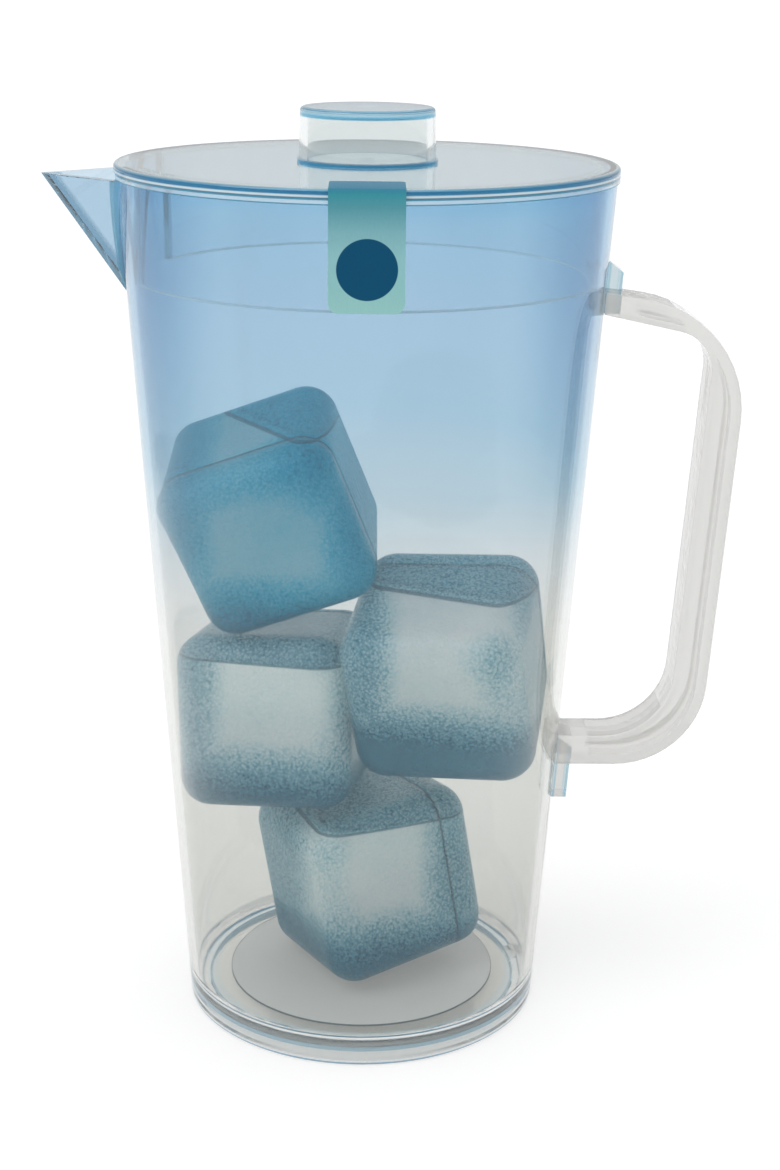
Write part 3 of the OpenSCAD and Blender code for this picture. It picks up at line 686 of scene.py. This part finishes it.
def rounded_block(half, r, seam, groove=0.0):
    """Vertices and quads of a cube with round edges. seam is a plane y = seam that falls on a grid line."""
    core = half - r
    lines = grid_lines(core, r, [])
    seam_lines = grid_lines(core, r, [seam - SEAM_HALF_WIDTH, seam, seam + SEAM_HALF_WIDTH])
    verts, index, faces = [], {}, []

    def vertex(p):
        flat = nearest_in_core(p, core)
        depth = r - (groove if abs(p[1] - seam) < SAME_LINE else 0.0)
        q = flat + (Vector(p) - flat).normalized() * depth
        key = tuple(round(c * 1e6) for c in q)
        if key not in index:
            index[key] = len(verts)
            verts.append(q)
        return index[key]

    def outward(quad, axis, sign):
        normal = (verts[quad[1]] - verts[quad[0]]).cross(verts[quad[2]] - verts[quad[0]])
        return quad[::-1] if normal[axis] * sign < 0 else quad

    for axis in range(3):
        u_axis, v_axis = [a for a in range(3) if a != axis]
        for sign in (-1.0, 1.0):
            grid = []
            for u in seam_lines if u_axis == 1 else lines:
                row = []
                for v in seam_lines if v_axis == 1 else lines:
                    p = [0.0, 0.0, 0.0]
                    p[axis], p[u_axis], p[v_axis] = sign * half, u, v
                    row.append(vertex(p))
                grid.append(row)
            for low, high in zip(grid, grid[1:]):
                for j in range(len(low) - 1):
                    quad = outward([low[j], high[j], high[j + 1], low[j + 1]], axis, sign)
                    if len(set(quad)) == 4:
                        faces.append(quad)
    return verts, faces


def open_edges(faces):
    """The edges that only one of the faces has, in that face's direction."""
    edges = {}
    for f in faces:
        for a, b in zip(f, f[1:] + f[:1]):
            if (b, a) in edges:
                del edges[(b, a)]
            else:
                edges[(a, b)] = True
    return list(edges)


def half_shell(name, seam, side, turn):
    """The part of the shell on one side of the seam, closed between its outside and its inside."""
    outer, faces = rounded_block(ICE_HALF, ICE_R, seam, SEAM_DEPTH)

    def inner(p):
        flat = nearest_in_core(p, ICE_HALF - ICE_R)
        return flat + (p - flat).normalized() * (ICE_R - ICE_SHELL)

    kept = [f for f in faces if all((outer[i][1] - seam) * side > -ON_SEAM for i in f)]
    used = sorted({i for f in kept for i in f})
    new = {old: k for k, old in enumerate(used)}
    n = len(used)
    points = [outer[i] for i in used] + [inner(outer[i]) for i in used]
    quads = [[new[i] for i in f] for f in kept]
    quads += [[new[i] + n for i in reversed(f)] for f in kept]
    quads += [[new[b], new[a], new[a] + n, new[b] + n] for a, b in open_edges(kept)]
    return make_mesh(name, [turn @ p for p in points], quads)


def filling(name, turn, level):
    """What is below the level plane of a rounded block, with a small meniscus at its edge."""
    half, r = ICE_HALF - ICE_SHELL - FILLING_GAP, ICE_R - ICE_SHELL - FILLING_GAP
    points, faces = rounded_block(half, r, 0.0)
    obj = make_mesh(name, [turn @ p for p in points], faces)
    bm = bmesh.new()
    bm.from_mesh(obj.data)
    geom = bm.verts[:] + bm.edges[:] + bm.faces[:]
    at = Vector((0.0, 0.0, level))
    cut = bmesh.ops.bisect_plane(bm, geom=geom, plane_co=at, plane_no=(0, 0, 1), clear_outer=True)
    rim = [e for e in cut["geom_cut"] if isinstance(e, bmesh.types.BMEdge)]
    top = bmesh.ops.edgeloop_fill(bm, edges=rim)["faces"]
    bmesh.ops.inset_region(bm, faces=top, thickness=MENISCUS_W, use_even_offset=True)
    for v in {v for f in top for v in f.verts}:
        v.co.z -= MENISCUS_H
    for f in bm.faces:
        f.smooth = True
    for f in top:
        f.smooth = False
    bm.normal_update()
    bm.to_mesh(obj.data)
    bm.free()
    return obj


# ------------------------------------------------------------------ the four ice cubes


def middle_of(*names):
    """The middle of the box round these CAD nodes."""
    low = [min(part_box(n)[0][k] for n in names) for k in range(3)]
    high = [max(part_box(n)[1][k] for n in names) for k in range(3)]
    return Vector([(a + b) / 2 for a, b in zip(low, high)])


def cube_place(tag, degrees):
    """From a cube's own axes to the frame: turned about X, Y and Z, and moved to its middle."""
    about_x, about_y, about_z = (Matrix.Rotation(math.radians(a), 4, n) for a, n in zip(degrees, "XYZ"))
    turn = about_z @ about_y @ about_x
    turn.translation = middle_of(f"{tag}_tub", f"{tag}_cap")
    return turn


def dress_cube(tag, degrees, cap_side, shades, light_spot_up):
    """Shell in two halves, filling and plug of one cube. cap_side is 1 where the cap looks towards the
    cube's own +Y, and -1 where it looks towards -Y. shades and the height of the painted light spot set
    the shell's painted light and shade."""
    turn = cube_place(tag, degrees)
    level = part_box(f"{tag}_water")[1].z
    seam = cap_side * (ICE_HALF - ICE_CAP_H)
    shell = frosted_shell(f"{tag}_frosted", turn, level, seam, shades, light_spot_up)
    for part, side in (("tub", -cap_side), ("cap", cap_side)):
        piece = half_shell(f"{tag}_{part}_shell", seam, side, turn)
        put_on(piece, shell)
        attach(piece, tag)
        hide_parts(f"{tag}_{part}")
    water = filling(f"{tag}_filling", turn, level)
    put_on(water, ice_filling(f"{tag}_water", turn))
    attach(water, tag)
    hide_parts(f"{tag}_water")
    put_on(nodes[f"{tag}_plug"], plug_material)


plug_material = white_plug()
dress_cube("ice_1", (8.5, -4.5, -62.5), 1, PALE_SHELL, PALE_LIGHT_SPOT_UP)
dress_cube("ice_2", (-5.0, -3.0, -11.5), 1, PALE_SHELL, PALE_LIGHT_SPOT_UP)
dress_cube("ice_3", (19.0, -4.0, -15.0), 1, PALE_SHELL, PALE_LIGHT_SPOT_UP)
dress_cube("ice_4", (14.0, -20.0, -5.0), -1, DEEP_SHELL, DEEP_LIGHT_SPOT_UP)

# ------------------------------------------------------------------ CAD nodes

put_on(nodes["pitcher_body"], clear_plastic("jug_plastic", jug_tint))
put_on(nodes["handle"], clear_plastic("handle_plastic", handle_tint))
put_on(nodes["lid"], clear_plastic("lid_plastic", lid_tint))
put_on(nodes["lid_knob"], clear_plastic("knob_plastic", knob_tint))
put_on(nodes["base_disc"], frosted_disc())
put_on(nodes["hang_strip"], printed_card())

# ------------------------------------------------------------------ studio

FLOOR_HALF = 60.0
FLOOR_WHITE, FLOOR_LIFT = (0.93, 0.93, 0.93, 1.0), 0.25
DOME_WHITE = (0.99, 0.995, 1.0, 1.0)
DOME_LIGHT, DOME_SEEN = 0.74, 1.02


def stage_floor():
    """A matt white floor. What the camera sees of it, also in and through the plastic, is lifted to
    white, and it keeps the shadow."""
    corners = [(x * FLOOR_HALF, y * FLOOR_HALF, 0) for x, y in ((-1, -1), (1, -1), (1, 1), (-1, 1))]
    obj = make_mesh("floor", corners, [(0, 1, 2, 3)], smooth=False)
    t = Tree("floor_white")
    diffuse = t.node("BsdfDiffuse")
    diffuse.inputs["Color"].default_value = FLOOR_WHITE
    path = t.node("LightPath")
    seen = t.larger(path.outputs["Is Camera Ray"], path.outputs["Is Glossy Ray"])
    seen = t.larger(seen, path.outputs["Is Transmission Ray"])
    lift = t.node("Emission")
    t.link(t.times(seen, FLOOR_LIFT), lift.inputs["Strength"])
    both = t.node("AddShader")
    t.link(diffuse.outputs[0], both.inputs[0])
    t.link(lift.outputs[0], both.inputs[1])
    put_on(obj, t.finish(both.outputs[0]))


def studio_world():
    """An even dome of light, which the camera sees as white, also through the plastic."""
    world = bpy.data.worlds.new("studio")
    world.use_nodes = True
    scene.world = world
    tree = world.node_tree
    dome = tree.nodes["Background"]
    dome.inputs[0].default_value = DOME_WHITE
    path = tree.nodes.new("ShaderNodeLightPath")
    seen = tree.nodes.new("ShaderNodeMath")
    seen.operation = "MAXIMUM"
    tree.links.new(path.outputs["Is Camera Ray"], seen.inputs[0])
    tree.links.new(path.outputs["Is Transmission Ray"], seen.inputs[1])
    level = tree.nodes.new("ShaderNodeMapRange")
    tree.links.new(seen.outputs[0], level.inputs["Value"])
    level.inputs["To Min"].default_value = DOME_LIGHT
    level.inputs["To Max"].default_value = DOME_SEEN
    tree.links.new(level.outputs[0], dome.inputs[1])


def soft_lamp(name, towards, strength, spread):
    """A wide soft sheet of light, as strong everywhere on the floor."""
    data = bpy.data.lights.new(name, "SUN")
    data.energy = strength
    data.angle = math.radians(spread)
    obj = bpy.data.objects.new(name, data)
    obj.rotation_euler = Vector(towards).to_track_quat("-Z", "Y").to_euler()
    scene.collection.objects.link(obj)


def render_settings():
    """Plain colours, and enough bounces for a ray to get through the jug, the cubes and the jug again."""
    scene.view_settings.view_transform = "Standard"
    scene.cycles.max_bounces = 28
    scene.cycles.transmission_bounces = 24
    scene.cycles.glossy_bounces = 20
    scene.cycles.transparent_max_bounces = 24


stage_floor()
studio_world()
soft_lamp("key", towards=(0.75, 0.40, -1.0), strength=0.7, spread=35.0)
render_settings()
